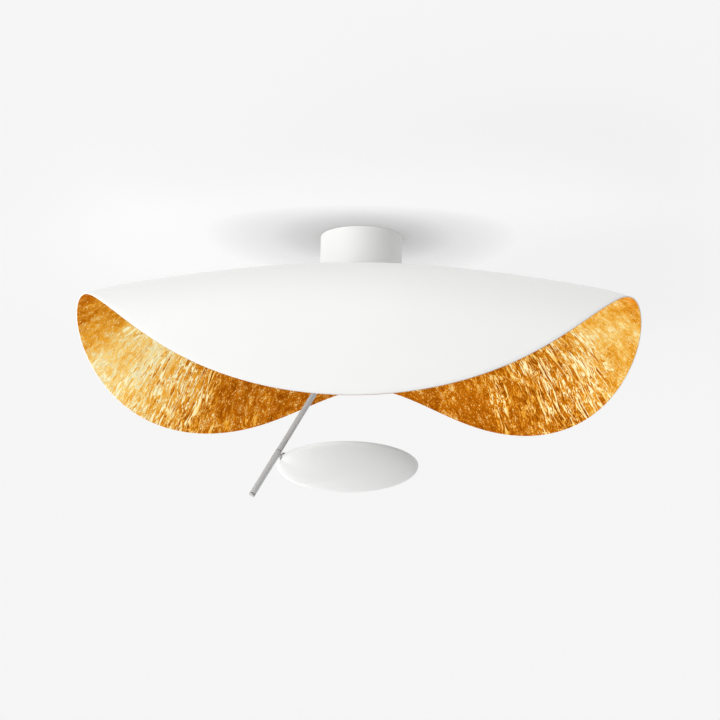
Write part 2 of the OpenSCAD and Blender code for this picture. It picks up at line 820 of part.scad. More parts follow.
module diffuser() {
    color("snow") at_dish() difference() {
        translate([0, 0, -ledge_top]) cylinder(h = diffuser_t, r = diffuser_r);
        translate([-head_r - past, -block_w / 2 - 0.1, -ledge_top - past])
            cube([head_r + past - head_reach + block_end + 0.2, block_w + 0.2, ledge_top + 2 * past]);
    }
}

ceiling_plate();
bridge_strap();
strap_screws();
earth_screw();
terminal_block();
upper_stem_nut();
lower_stem_nut();
stem_tube();
driver();
driver_pad();
canopy_cup();
canopy_nut();
shade_sheet();
gold_leaf();
shade_washer();
shade_nut();
swivel_neck();
upper_slip_washer();
lower_slip_washer();
swivel_housing();
fork();
pivot_screw();
pivot_nut();
rod_eye();
rod_tube();
spigot();
sleeve_top_washer();
sleeve_end_washer();
end_cap();
grip_sleeve();
stub_pin();
socket_block();
socket_screw();
pin_set_screw();
head_dish();
heat_plate();
heat_plate_screws();
light_board();
light_chips();
diffuser();
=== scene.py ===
"""Dresses a ceiling light: a white sheet folded like a lotus leaf and gilded underneath,
its canopy on the ceiling, and a thin jointed arm whose lamp head shines up into the gold.
All sizes are in metres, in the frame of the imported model, with the ceiling at z = 0."""

import json
import math

import bmesh
import bpy
from bpy.props import FloatProperty, FloatVectorProperty, IntProperty, PointerProperty
from mathutils import Matrix, Vector

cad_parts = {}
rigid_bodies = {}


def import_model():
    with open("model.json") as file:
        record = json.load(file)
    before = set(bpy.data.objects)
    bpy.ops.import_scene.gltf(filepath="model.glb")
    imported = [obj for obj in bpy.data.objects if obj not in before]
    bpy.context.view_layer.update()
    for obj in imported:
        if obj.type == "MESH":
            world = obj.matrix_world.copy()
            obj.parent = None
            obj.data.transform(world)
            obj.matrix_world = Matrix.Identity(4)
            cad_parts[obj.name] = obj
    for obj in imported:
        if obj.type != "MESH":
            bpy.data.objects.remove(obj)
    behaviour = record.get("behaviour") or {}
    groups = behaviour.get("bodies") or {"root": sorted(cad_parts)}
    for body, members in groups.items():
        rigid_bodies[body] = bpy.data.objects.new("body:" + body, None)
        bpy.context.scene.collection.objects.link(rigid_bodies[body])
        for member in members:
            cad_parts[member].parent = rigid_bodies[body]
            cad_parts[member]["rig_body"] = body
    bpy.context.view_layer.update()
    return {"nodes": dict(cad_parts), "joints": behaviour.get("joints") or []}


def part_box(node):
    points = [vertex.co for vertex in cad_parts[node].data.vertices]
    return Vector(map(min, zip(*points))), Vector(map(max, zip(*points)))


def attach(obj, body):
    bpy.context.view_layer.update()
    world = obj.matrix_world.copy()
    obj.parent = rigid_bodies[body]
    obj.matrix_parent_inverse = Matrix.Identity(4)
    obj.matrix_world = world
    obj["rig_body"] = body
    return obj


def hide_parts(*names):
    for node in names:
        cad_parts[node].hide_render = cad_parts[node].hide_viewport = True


bl_info = {
    "name": "Folded Leaf Ceiling Light",
    "version": (1, 0, 0),
    "blender": (4, 5, 0),
    "location": "3D View > Sidebar > Leaf Light",
    "description": "Models a ceiling light with a gilded folded shade and a lamp on a jointed arm",
    "category": "Add Mesh",
}

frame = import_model()
JOINTS = {joint["name"]: joint for joint in frame["joints"]}
MM = 0.001
MERGE_DISTANCE = 0.001 * MM
CAD_MERGE_DISTANCE = 0.002 * MM
FLAT_DEGREES = 1
SMOOTH_DEGREES = 35


# Sizes, colours and settings that a user may change


def length(title, words, value):
    return FloatProperty(name=title, description=words, default=value, unit="LENGTH", precision=5)


def angle(title, words, degrees):
    value = math.radians(degrees)
    return FloatProperty(name=title, description=words, default=value, subtype="ANGLE")


def colour(title, words, value):
    return FloatVectorProperty(
        name=title, description=words, default=value, subtype="COLOR", size=3, min=0, max=1
    )


def amount(title, words, value):
    return FloatProperty(name=title, description=words, default=value, min=0)


class ShadeSizes(bpy.types.PropertyGroup):
    """The flat sheet and its three folds."""

    sheet_radius: length("Sheet radius", "Radius of the sheet before it is folded", 310 * MM)
    sheet_thickness: length("Sheet thickness", "Thickness of the metal", 1.2 * MM)
    hole_radius: length("Hole radius", "Hole in the middle for the stem", 5.3 * MM)
    level_radius: length("Level radius", "Flat middle that the washer clamps", 20 * MM)
    dome_slope: angle("Dome slope", "Slope of the dome at the edge of the sheet", 11.5)
    front_start: length("Front fold start", "Distance from the stem to the front fold", 35 * MM)
    front_width: length("Front fold width", "Width over which the front fold bends", 225 * MM)
    front_bend: angle("Front fold bend", "Angle that the front fold bends down", 60)
    back_azimuth: angle("Back fold direction", "Direction of each back fold from the front", 125)
    back_start: length("Back fold start", "Distance from the stem to each back fold", 130 * MM)
    back_width: length("Back fold width", "Width over which each back fold bends", 145 * MM)
    back_bend: angle("Back fold bend", "Angle that each back fold bends down", 55)
    leaf_thickness: length("Leaf thickness", "Thickness of the gold leaf and its ground", 0.3 * MM)
    leaf_margin: length("Painted margin", "White lip left round the gold leaf", 0.03 * MM)
    leaf_gap: length("Leaf gap", "Bare ring between the washer and the gold leaf", 1 * MM)
    # The pale gold on the wings is a painted highlight; the next four settings place it and set its
    # strength
    highlight_azimuth: angle("Rubbed direction", "Direction of the palest gold, from the front", 98)
    highlight_skew: angle("Rubbed skew", "How much further back the palest gold lies on the left", 7)
    highlight_spread: angle("Rubbed spread", "Half the angle over which the gold is pale", 23)
    highlight_lean: FloatProperty(
        name="Rubbed lean", description="How much more the left side is rubbed than the right",
        default=0.18, min=-1, max=1,
    )
    wrinkle_azimuth: angle("Wrinkle direction", "Direction of the most wrinkled gold", 118)
    wrinkle_spread: angle("Wrinkle spread", "Half the angle over which the gold is wrinkled", 23)
    directions: IntProperty(name="Directions", description="Steps round the sheet", default=240)
    rings: IntProperty(name="Rings", description="Steps from the stem to the edge", default=64)


class CanopySizes(bpy.types.PropertyGroup):
    """The cup against the ceiling and the knurled nut under it."""

    wall: length("Wall", "Wall and floor of the cup", 1.2 * MM)
    bore: length("Bore", "Radius of the hole in the cup's floor", 5.2 * MM)
    flute_depth: length("Flute depth", "Depth of the nut's flutes", 0.4 * MM)
    flutes: IntProperty(name="Flutes", description="Flutes round the nut", default=36)
    flute_steps: IntProperty(name="Flute steps", description="Steps across each flute", default=6)
    nut_margin: length("Nut margin", "Plain ring round the nut's faces", 0.6 * MM)
    round_steps: IntProperty(name="Round steps", description="Steps round the cup", default=128)


class HeadSizes(bpy.types.PropertyGroup):
    """The lamp head's dish."""

    radius: length("Radius", "Radius of the dish", 75 * MM)
    depth: length("Depth", "Depth of the dish", 15.4 * MM)
    wall: length("Wall", "Wall of the dish", 1.5 * MM)
    reach: length("Reach", "Distance from the rod's axis to the dish's centre", 80 * MM)
    rim_drop: length("Rim drop", "Drop of the dish's edge below the stub's axis", 1 * MM)
    roll: angle("Roll", "Roll of the lamp head about its stub", 7)
    ledge_depth: length("Ledge depth", "Depth of the diffuser's ledge below the edge", 2.3 * MM)
    ledge_height: length("Ledge height", "Height of that ledge", 1.6 * MM)
    ledge_width: length("Ledge width", "Width of that ledge", 3 * MM)
    notch: length("Notch", "Width of the notch for the socket block", 8.2 * MM)
    arc_steps: IntProperty(name="Arc steps", description="Steps from edge to bottom", default=36)
    round_steps: IntProperty(name="Round steps", description="Steps round the dish", default=160)


class Roundings(bpy.types.PropertyGroup):
    """Widths of the rounded edges."""

    sheet: length("Sheet", "Edges of the folded sheet", 0.15 * MM)
    cup: length("Canopy cup", "Edges of the canopy cup", 0.5 * MM)
    nut: length("Knurled nut", "Edges of the canopy nut", 0.15 * MM)
    swivel: length("Swivel", "Edges of the washer, nuts, swivel and fork", 0.25 * MM)
    rod: length("Rod", "Edges of the rod, sleeve and stub", 0.15 * MM)
    cap: length("End cap", "Edges of the cap at the rod's tip", 0.2 * MM)
    block: length("Socket block", "Edges of the block in the dish", 0.3 * MM)
    screws: length("Head screws", "Edges of the screws in the dish", 0.1 * MM)
    diffuser: length("Diffuser", "Edges of the diffuser", 0.3 * MM)


class Finishes(bpy.types.PropertyGroup):
    """Colours of the finishes."""

    paint: colour("White paint", "Satin paint of shade, canopy and dish", (0.90, 0.90, 0.89))
    # Dark gold stands for painted shade in the creases, pale gold for a painted highlight on the wings
    # and bright gold for painted highlights along the wrinkles
    gold_dark: colour("Dark gold", "Gold in the creases", (0.26, 0.055, 0.001))
    gold_deep: colour("Deep gold", "Gold near the middle of the sheet", (0.54, 0.15, 0.003))
    gold_body: colour("Body gold", "Most of the gold leaf", (0.82, 0.365, 0.028))
    gold_pale: colour("Pale gold", "Rubbed patches of the gold leaf", (0.98, 0.67, 0.20))
    gold_bright: colour("Bright gold", "Burnished wrinkles", (1.0, 0.93, 0.58))
    nickel: colour("Satin nickel", "Stem, washer, nuts, swivel and socket", (0.50, 0.50, 0.51))
    rod: colour("Rod", "Satin grey of the rod, sleeve and stub", (0.72, 0.72, 0.72))
    cap: colour("End cap", "Satin grey of the cap at the rod's tip", (0.576, 0.576, 0.576))
    dark_nickel: colour("Dark nickel", "Screws of the lamp head", (0.26, 0.26, 0.26))
    zinc: colour("Zinc", "Plate, strap, nuts and screws that are hidden", (0.55, 0.56, 0.58))
    brass: colour("Brass", "Earth screw", (0.72, 0.47, 0.16))
    aluminium: colour("Aluminium", "Heat plate", (0.66, 0.67, 0.68))
    ivory: colour("Ivory plastic", "Driver and terminal block", (0.78, 0.75, 0.66))
    foam: colour("Foam", "Pad under the driver", (0.03, 0.03, 0.03))
    slip: colour("Dark plastic", "Sliding washers of the swivel", (0.05, 0.05, 0.052))
    sleeve_slip: colour("Grey plastic", "Sliding washers of the sleeve", (0.12, 0.12, 0.12))
    board: colour("Board", "Solder mask of the light board", (0.85, 0.85, 0.82))
    phosphor: colour("Phosphor", "Light chips", (0.86, 0.62, 0.07))
    opal: colour("Opal", "Diffuser", (0.90, 0.90, 0.87))


class StageSettings(bpy.types.PropertyGroup):
    """Camera, lamps and backdrop."""

    azimuth: angle("Azimuth", "Camera's direction from the front, to the right", 2.17)
    elevation: angle("Elevation", "Camera's height above the level, negative below", -14.34)
    roll: angle("Roll", "Turn of the camera about its own axis", 0.91)
    distance: length("Distance", "Distance from the camera to the point it looks at", 3.5)
    target_height: length("Target height", "Height of the point that the camera looks at", -0.13665)
    focal: FloatProperty(
        name="Focal length", description="Lens in mm on a sensor 36 mm wide", default=163.485
    )
    shift: FloatProperty(name="Shift", description="Sideways shift of the lens", default=0.00065)
    ceiling_gap: length("Ceiling gap", "Height of the ceiling over the light", 0.2 * MM)
    floor_height: length("Floor height", "Floor of the room", -2.4)
    room: length("Room", "Half the width of the ceiling and floor", 20)
    backdrop: colour("Backdrop", "The space beyond the ceiling and floor", (0.922, 0.922, 0.922))
    surface: colour("Surface", "Paint of the ceiling and floor", (0.96, 0.96, 0.96))
    shadow: FloatProperty(
        name="Shadow", description="Share of the ceiling's and floor's own light and shadow",
        default=0.2, min=0, max=1,
    )
    # The painted contact shadow on the ceiling and floor
    contact_reach: length("Contact reach", "Distance from a piece at which a surface darkens", 60 * MM)
    contact_share: amount("Contact share", "Share of its light that a covered surface keeps", 0.18)
    sky: amount("Sky", "Even light from all round", 0.22)
    key: amount("Key", "Light from above, the left and the front", 2.0)
    low: amount("Low", "Light from below, the left and the back", 2.35)
    side: amount("Side", "Faint light from the right and the back", 0.85)
    fill: amount("Fill", "Light from below, the left and the front", 2.1)
    spread: angle("Spread", "Angle that each lamp fills in the sky", 60)


# Directions from which the lamps shine
LAMPS = (
    ("key", (-0.38, -0.33, 0.865)),
    ("low", (-0.55, 0.78, -0.32)),
    ("fill", (-0.60, -0.70, -0.40)),
    ("side", (0.88, 0.42, -0.10)),
)
SENSOR_WIDTH_MM = 36


# Frames of the joints


def placed(origin, x_axis, y_axis):
    """The matrix of a frame with this origin and these two axes."""
    x_axis = x_axis.normalized()
    z_axis = x_axis.cross(y_axis).normalized()
    y_axis = z_axis.cross(x_axis)
    turn = Matrix((x_axis, y_axis, z_axis)).transposed()
    return Matrix.Translation(origin) @ turn.to_4x4()


def dish_frame(head):
    """The dish's own frame: its centre, level with its edge, with x pointing away from the rod."""
    stub = Vector(JOINTS["head_roll"]["axis"])
    side = Vector(JOINTS["arm_tilt"]["axis"])
    joint = Vector(JOINTS["head_roll"]["pos_m"])
    rolled = placed(joint, stub, side) @ Matrix.Rotation(-head.roll, 4, "X")
    return rolled @ Matrix.Translation((head.reach, 0, -head.rim_drop))


# The folded sheet


class SlopeCurve:
    """Reach and drop along a strip of sheet whose slope is a function of the distance."""

    def __init__(self, slope, span, steps=600):
        self.step = span / steps
        self.points = [(0.0, 0.0)]
        for i in range(steps):
            tilt = slope((i + 0.5) * self.step)
            reach, drop = self.points[-1]
            further = reach + self.step * math.cos(tilt)
            lower = drop + self.step * math.sin(tilt)
            self.points.append((further, lower))

    def at(self, distance):
        """The reach and drop at a distance along the strip."""
        place = distance / self.step
        before = min(int(place), len(self.points) - 2)
        low = self.points[before]
        high = self.points[before + 1]
        share = place - before
        return low[0] + share * (high[0] - low[0]), low[1] + share * (high[1] - low[1])


def smooth_step(value):
    """Rises gently from 0 to 1 as the value does."""
    value = min(1.0, max(0.0, value))
    return value * value * (3 - 2 * value)


class FoldedSheet:
    """Maps a point of the flat sheet to the folded one. Its curves run on past the edge."""

    RUN_ON = 1.2

    def __init__(self, shade, top):
        self.top = top
        span = shade.sheet_radius * self.RUN_ON
        reach = shade.sheet_radius - shade.level_radius
        self.dome = SlopeCurve(
            lambda s: shade.dome_slope * math.sqrt(max(0, s - shade.level_radius) / reach), span
        )
        front = SlopeCurve(lambda t: shade.front_bend * smooth_step(t / shade.front_width), span)
        back = SlopeCurve(lambda t: shade.back_bend * smooth_step(t / shade.back_width), span)
        self.folds = [
            (0.0, shade.front_start, front),
            (shade.back_azimuth, shade.back_start, back),
            (-shade.back_azimuth, shade.back_start, back),
        ]

    def point(self, flat):
        """The folded place of a flat point; azimuths count from the front, which is -Y."""
        distance = flat.length
        reach, drop = self.dome.at(distance)
        folded = Vector((flat.x, flat.y, 0)) * (reach / distance)
        folded.z = self.top - drop
        for azimuth, start, curve in self.folds:
            normal = Vector((math.sin(azimuth), -math.cos(azimuth), 0))
            past = max(0.0, normal.dot(Vector((flat.x, flat.y, 0))) - start)
            reach, drop = curve.at(past)
            folded -= normal * (past - reach)
            folded.z -= drop
        return folded


def spin_round(bm, verts, edges, steps):
    """Spins a profile full circle round Z and closes it."""
    bmesh.ops.spin(
        bm, geom=verts + edges, cent=(0, 0, 0), axis=(0, 0, 1), angle=2 * math.pi,
        steps=steps, use_merge=True,
    )
    bmesh.ops.remove_doubles(bm, verts=bm.verts, dist=MERGE_DISTANCE)
    bmesh.ops.recalc_face_normals(bm, faces=bm.faces)


# Shares of the sheet's radius where its gilding changes, and how much calmer its lip is there
MIDDLE = 0.65
LIP_START = 0.84
LIP_WIDTH = 0.12
LIP_CALM = 0.35


def gilding_marks(shade, flat):
    """What the gold finish reads at a point of the flat sheet: the point itself, its place on a
    cylinder, on which strokes run outwards, the strength of its painted highlight and how wrinkled it
    is."""
    distance = flat.length
    middle = shade.sheet_radius * MIDDLE
    turn = abs(math.atan2(flat.x, -flat.y))
    # A painted highlight on the wings, stronger on the left, where its palest direction lies further
    # back
    lean = 1 - shade.highlight_lean * flat.x / distance
    palest = shade.highlight_azimuth - shade.highlight_skew * flat.x / distance
    highlight_share = lean * math.exp(-(((turn - palest) / shade.highlight_spread) ** 2))
    creased = math.exp(-(((turn - shade.wrinkle_azimuth) / shade.wrinkle_spread) ** 2))
    lip = smooth_step((distance / shade.sheet_radius - LIP_START) / LIP_WIDTH)
    return {
        "flat": flat,
        "around": Vector((flat.x, flat.y, 0)) * (middle / distance) + Vector((0, 0, distance)),
        "rubbed": highlight_share * smooth_step(distance / middle),
        "wrinkled": creased * (1 - LIP_CALM * highlight_share * highlight_share * lip),
    }


def folded_bmesh(shade, inner, outer, thickness, depth):
    """A ring of sheet from the inner to the outer radius, spun flat, then folded and thickened.
    Its upper face lies at that depth under the sheet's own upper face."""
    bm = bmesh.new()
    rows = [inner + (outer - inner) * i / shade.rings for i in range(shade.rings + 1)]
    verts = [bm.verts.new((0, -row, 0)) for row in rows]
    edges = [bm.edges.new(pair) for pair in zip(verts, verts[1:])]
    spin_round(bm, verts, edges, shade.directions)
    if bm.faces[:][0].normal.z < 0:
        bmesh.ops.reverse_faces(bm, faces=bm.faces)
    layers = {
        "flat": bm.verts.layers.float_vector.new("flat"),
        "around": bm.verts.layers.float_vector.new("around"),
        "rubbed": bm.verts.layers.float.new("rubbed"),
        "wrinkled": bm.verts.layers.float.new("wrinkled"),
    }
    sheet = FoldedSheet(shade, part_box("shade_washer")[1].z + shade.sheet_thickness)
    for vert in bm.verts:
        for name, value in gilding_marks(shade, vert.co.copy()).items():
            vert[layers[name]] = value
        vert.co = sheet.point(vert.co)
    bm.normal_update()
    if depth:
        for vert in bm.verts:
            vert.co -= vert.normal * depth
        bm.normal_update()
    bmesh.ops.solidify(bm, geom=bm.faces, thickness=thickness)
    return bm


# Making pieces


def add_piece(bm, name, body, material, stands_for, smooth=SMOOTH_DEGREES):
    """Turns a bmesh into a piece that rides on a body and stands for CAD nodes."""
    mesh = bpy.data.meshes.new(name)
    bm.to_mesh(mesh)
    bm.free()
    mesh.shade_smooth()
    mesh.set_sharp_from_angle(angle=math.radians(smooth))
    piece = bpy.data.objects.new(name, mesh)
    bpy.context.scene.collection.objects.link(piece)
    mesh.materials.append(material)
    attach(piece, body)
    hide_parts(*stands_for)
    return piece


def spun(profile, steps):
    """A bmesh turned round Z from a closed outline of (radius, height) points."""
    bm = bmesh.new()
    verts = [bm.verts.new((radius, 0, height)) for radius, height in profile]
    edges = [bm.edges.new(pair) for pair in zip(verts, verts[1:] + verts[:1])]
    spin_round(bm, verts, edges, steps)
    return bm


def soften(bm, width, least=30, segments=2):
    """Rounds every edge that is sharper than the least angle, in degrees."""
    sharp = [e for e in bm.edges if e.is_manifold and e.calc_face_angle(0) > math.radians(least)]
    bmesh.ops.bevel(
        bm, geom=sharp, offset=width, offset_type="OFFSET", segments=segments, profile=0.5,
        affect="EDGES", clamp_overlap=True, material=-1,
    )


def even_normals(piece):
    """Keeps flat faces flat beside their rounded edges."""
    weighted = piece.modifiers.new("even_normals", "WEIGHTED_NORMAL")
    weighted.keep_sharp = False
    weighted.weight = 60


def softened_copy(node, width, material):
    """Makes a copy of a CAD node with its doubles merged and its edges rounded."""
    bm = bmesh.new()
    bm.from_mesh(frame["nodes"][node].data)
    bmesh.ops.remove_doubles(bm, verts=bm.verts, dist=CAD_MERGE_DISTANCE)
    flat = math.radians(FLAT_DEGREES)
    bmesh.ops.dissolve_limit(bm, angle_limit=flat, verts=bm.verts, edges=bm.edges)
    soften(bm, width)
    body = frame["nodes"][node]["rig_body"]
    piece = add_piece(bm, node + "_finished", body, material, [node], smooth=50)
    even_normals(piece)


def carve(piece, cutter_bm):
    """Cuts a shape out of a piece and keeps the result as its mesh, without the faces of no
    width that the cut leaves."""
    cutter_mesh = bpy.data.meshes.new("cutter")
    cutter_bm.to_mesh(cutter_mesh)
    cutter_bm.free()
    cutter = bpy.data.objects.new("cutter", cutter_mesh)
    bpy.context.scene.collection.objects.link(cutter)
    cut = piece.modifiers.new("notch", "BOOLEAN")
    cut.object = cutter
    cut.solver = "EXACT"
    depsgraph = bpy.context.evaluated_depsgraph_get()
    result = bpy.data.meshes.new_from_object(piece.evaluated_get(depsgraph))
    piece.modifiers.remove(cut)
    bm = bmesh.new()
    bm.from_mesh(result)
    bmesh.ops.remove_doubles(bm, verts=bm.verts, dist=MERGE_DISTANCE)
    bm.to_mesh(result)
    bm.free()
    piece.data = result
    bpy.data.objects.remove(cutter)
    result.set_sharp_from_angle(angle=math.radians(SMOOTH_DEGREES))


def paint_node(node, material):
    """Gives a CAD node its finish."""
    mesh = frame["nodes"][node].data
    mesh.materials.clear()
    mesh.materials.append(material)


# Materials


# Where most of a noise's values lie, and where those of a fine noise lie
NOISE_RANGE = (0.3, 0.7)
GRAIN_RANGE = (0.35, 0.65)
NOISE_MIDDLE = 0.5


def math_node(tree, operation, *values):
    """The result of a math node, whose values are numbers or other nodes' results."""
    node = tree.nodes.new("ShaderNodeMath")
    node.operation = operation
    for slot, value in zip(node.inputs, values):
        if isinstance(value, (int, float)):
            slot.default_value = value
        else:
            tree.links.new(value, slot)
    return node.outputs[0]


def mix_shaders(tree, share, first, second):
    """The first shader with a share of the second."""
    node = tree.nodes.new("ShaderNodeMixShader")
    for slot, source in zip(node.inputs, (share, first, second)):
        tree.links.new(source, slot)
    return node.outputs["Shader"]


class Nodes:
    """A short way to write a material's node tree."""

    def __init__(self, name):
        self.material = bpy.data.materials.new(name)
        self.material.use_nodes = True
        self.tree = self.material.node_tree
        self.shader = self.tree.nodes["Principled BSDF"]

    def add(self, kind, values=None, **settings):
        """A new node with these settings and these values of its inputs."""
        node = self.tree.nodes.new(kind)
        for key, value in settings.items():
            setattr(node, key, value)
        for key, value in (values or {}).items():
            node.inputs[key].default_value = value
        return node

    def link(self, source, target):
        self.tree.links.new(source, target)

    def attribute(self, name, output="Fac"):
        return self.add("ShaderNodeAttribute", attribute_name=name).outputs[output]

    def coordinates(self, scale=(1, 1, 1), attribute=None, offset=None):
        """Object coordinates or an attribute, scaled, with a wavering offset if one is given."""
        if attribute:
            source = self.attribute(attribute, "Vector")
        else:
            source = self.add("ShaderNodeTexCoord").outputs["Object"]
        if offset:
            moved = self.add("ShaderNodeVectorMath", operation="ADD")
            self.link(source, moved.inputs[0])
            self.link(offset, moved.inputs[1])
            source = moved.outputs[0]
        mapping = self.add("ShaderNodeMapping", {"Scale": scale})
        self.link(source, mapping.inputs["Vector"])
        return mapping.outputs["Vector"]

    def noise(self, where, scale, detail=3, roughness=0.5, distortion=0.0, output="Fac"):
        values = {"Scale": scale, "Detail": detail, "Roughness": roughness, "Distortion": distortion}
        node = self.add("ShaderNodeTexNoise", values)
        self.link(where, node.inputs["Vector"])
        return node.outputs[output]

    def remap(self, value, low, high, to_low=0.0, to_high=1.0):
        """The value carried from one range to another, and kept within it."""
        values = {"From Min": low, "From Max": high, "To Min": to_low, "To Max": to_high}
        node = self.add("ShaderNodeMapRange", values)
        self.link(value, node.inputs["Value"])
        return node.outputs["Result"]

    def math(self, operation, *values):
        return math_node(self.tree, operation, *values)

    def product(self, first, second):
        return self.math("MULTIPLY", first, second)

    def larger(self, first, second):
        return self.math("MAXIMUM", first, second)

    def total(self, shares):
        """The sum of values, each times its share."""
        result = 0.0
        for value, share in shares:
            result = self.math("MULTIPLY_ADD", value, share, result)
        return result

    def crease(self, value, level, core, edge):
        """Thin lines along which a value passes a level."""
        away = self.math("ABSOLUTE", self.math("SUBTRACT", value, level))
        return self.remap(away, core, edge, 1.0, 0.0)

    def ramp(self, value, stops):
        """A colour that changes with a value, from (value, colour) stops."""
        node = self.add("ShaderNodeValToRGB")
        stages = node.color_ramp.elements
        while len(stages) < len(stops):
            stages.new(0.5)
        for stage, (place, shade) in zip(stages, stops):
            stage.position = place
            stage.color = (*shade, 1)
        self.link(value, node.inputs["Fac"])
        return node.outputs["Color"]

    def bump(self, height, distance, strength):
        """A normal bent by a height that is in units of this distance."""
        node = self.add("ShaderNodeBump", {"Strength": strength, "Distance": distance})
        self.link(height, node.inputs["Height"])
        return node.outputs["Normal"]

    def set(self, **values):
        """Sets what is the same all over the surface on the shader's own inputs."""
        for key, value in values.items():
            self.shader.inputs[key.replace("_", " ")].default_value = value

    def finish(self, tone, rough, normal):
        """Links colour, roughness and normal to the shader and gives the material."""
        for key, source in (("Base Color", tone), ("Roughness", rough), ("Normal", normal)):
            self.link(source, self.shader.inputs[key])
        return self.material


def shaded(tint, share):
    """The colour made darker or lighter by a share."""
    return tuple(min(1.0, part * share) for part in tint)


def two_tints(low_tint, high_tint, span=NOISE_RANGE):
    """The stops of a ramp between two colours."""
    return list(zip(span, (low_tint, high_tint)))


def satin_paint(name, tint):
    """Sprayed white paint with a faint orange-peel skin."""
    nodes = Nodes(name)
    where = nodes.coordinates()
    cloud = nodes.noise(where, 9, detail=2)
    tone = nodes.ramp(cloud, two_tints(shaded(tint, 0.985), tint))
    rough = nodes.remap(nodes.noise(where, 60), *NOISE_RANGE, 0.40, 0.48)
    peel = nodes.noise(where, 1100, detail=1)
    return nodes.finish(tone, rough, nodes.bump(peel, 0.03 * MM, 0.35))


def gold_leaf_finish(finishes):
    """Hand-laid gold leaf: a mottled ground, paler on the wings with a painted highlight, under
    short wrinkles that run outwards from the middle, painted bright along them with shade beside."""
    nodes = Nodes("gold_leaf_rubbed")
    plain = nodes.coordinates(attribute="flat")
    waver = nodes.add("ShaderNodeVectorMath", {"Scale": 10 * MM}, operation="SCALE")
    nodes.link(nodes.noise(plain, 26, detail=2, output="Color"), waver.inputs[0])

    def strokes(scale, detail=2, roughness=0.5):
        """Noise drawn out along wavering lines that run outwards."""
        where = nodes.coordinates(scale, "around", waver.outputs[0])
        return nodes.noise(where, 1, detail, roughness, distortion=0.2)

    # Noises, from the broadest strokes and patches to the finest
    band = strokes((60, 60, 10))
    wide = strokes((190, 190, 45), 4, 0.6)
    long = strokes((170, 170, 22))
    short = strokes((310, 310, 75))
    gaps = strokes((150, 150, 50))
    cloud = nodes.noise(plain, 20.5, roughness=0.55)
    mottle = nodes.noise(plain, 110, detail=5, roughness=0.7, distortion=0.6)
    curl = nodes.noise(plain, 210, detail=2, distortion=1.2)
    speck = nodes.noise(plain, 430, detail=2)
    grain = nodes.noise(plain, 700, roughness=0.7)
    # The strength of the painted highlight, and how wrinkled the leaf is
    rubbed = nodes.attribute("rubbed")
    wrinkled = nodes.attribute("wrinkled")

    # Wrinkles gather in patches, long ones here and short ones there
    gathered = nodes.remap(nodes.total(((cloud, 0.6), (band, 0.4), (wrinkled, 0.26))), 0.54, 0.74)
    here = nodes.product(gathered, nodes.remap(gaps, 0.49, 0.54))
    there = nodes.product(gathered, nodes.remap(gaps, 0.48, 0.43))
    # Painted shade: dark lines beside the wrinkles
    shadow = nodes.total((
        (nodes.product(nodes.crease(long, 0.42, 0.015, 0.05), here), 1.0),
        (nodes.product(nodes.crease(short, 0.42, 0.02, 0.06), there), 0.8),
    ))
    # Painted highlights: bright lines along the wrinkles, bright curls and bright specks
    straight = nodes.larger(
        nodes.product(nodes.crease(long, NOISE_MIDDLE, 0.025, 0.055), here),
        nodes.product(nodes.crease(short, NOISE_MIDDLE, 0.025, 0.065), there),
    )
    patchy = nodes.remap(mottle, 0.51, 0.57, 0.0, 0.85)
    curled = nodes.product(nodes.crease(curl, NOISE_MIDDLE, 0.012, 0.034), patchy)
    specks = nodes.remap(speck, 0.61, 0.68, 0.0, 0.75)
    glint = nodes.larger(straight, nodes.larger(curled, specks))

    # Streaks keep to the wrinkled leaf, and patches are calmer away from it and from the painted
    # highlight
    streak = nodes.product(nodes.math("SUBTRACT", wide, NOISE_MIDDLE), wrinkled)
    lively = nodes.remap(nodes.larger(rubbed, wrinkled), 0.2, 0.7, 0.4, 1.0)
    drift = nodes.product(nodes.math("SUBTRACT", cloud, NOISE_MIDDLE), lively)
    # The painted highlight lifts the tone on the wings
    tone = nodes.total((
        (band, 0.10), (streak, 0.10), (drift, 0.42), (mottle, 0.46), (grain, 0.18), (rubbed, 0.24),
        (glint, 0.36), (shadow, -0.16),
    ))
    # Low tones give the dark gold of the painted shade, high tones the pale and bright gold of the
    # painted highlights
    tint = nodes.ramp(tone, [
        (0.28, finishes.gold_dark),
        (0.405, finishes.gold_deep),
        (0.52, finishes.gold_body),
        (0.65, finishes.gold_pale),
        (0.77, finishes.gold_bright),
    ])
    rough = nodes.remap(tone, 0.29, 0.59, 0.46, 0.30)
    height = nodes.total(((streak, 0.2), (mottle, 0.5), (glint, 0.42), (grain, 0.2)))
    nodes.set(Metallic=1.0, Specular_Tint=(1.0, 0.86, 0.5, 1.0))
    return nodes.finish(tint, rough, nodes.bump(height, 1.2 * MM, 0.7))


def brushed_metal(name, tint, rough=0.34, grain_scale=(900, 900, 900), metallic=1.0):
    """Bare or plated metal with a fine satin grain."""
    nodes = Nodes(name)
    grain = nodes.noise(nodes.coordinates(grain_scale), 1, roughness=0.6)
    smear = nodes.noise(nodes.coordinates(), 45)
    mix = nodes.math("ADD", nodes.product(grain, 0.6), nodes.product(smear, 0.4))
    tone = nodes.ramp(mix, two_tints(shaded(tint, 0.88), shaded(tint, 1.06), GRAIN_RANGE))
    polish = nodes.remap(mix, *GRAIN_RANGE, rough + 0.06, rough - 0.05)
    nodes.set(Metallic=metallic)
    return nodes.finish(tone, polish, nodes.bump(grain, 0.02 * MM, 0.5))


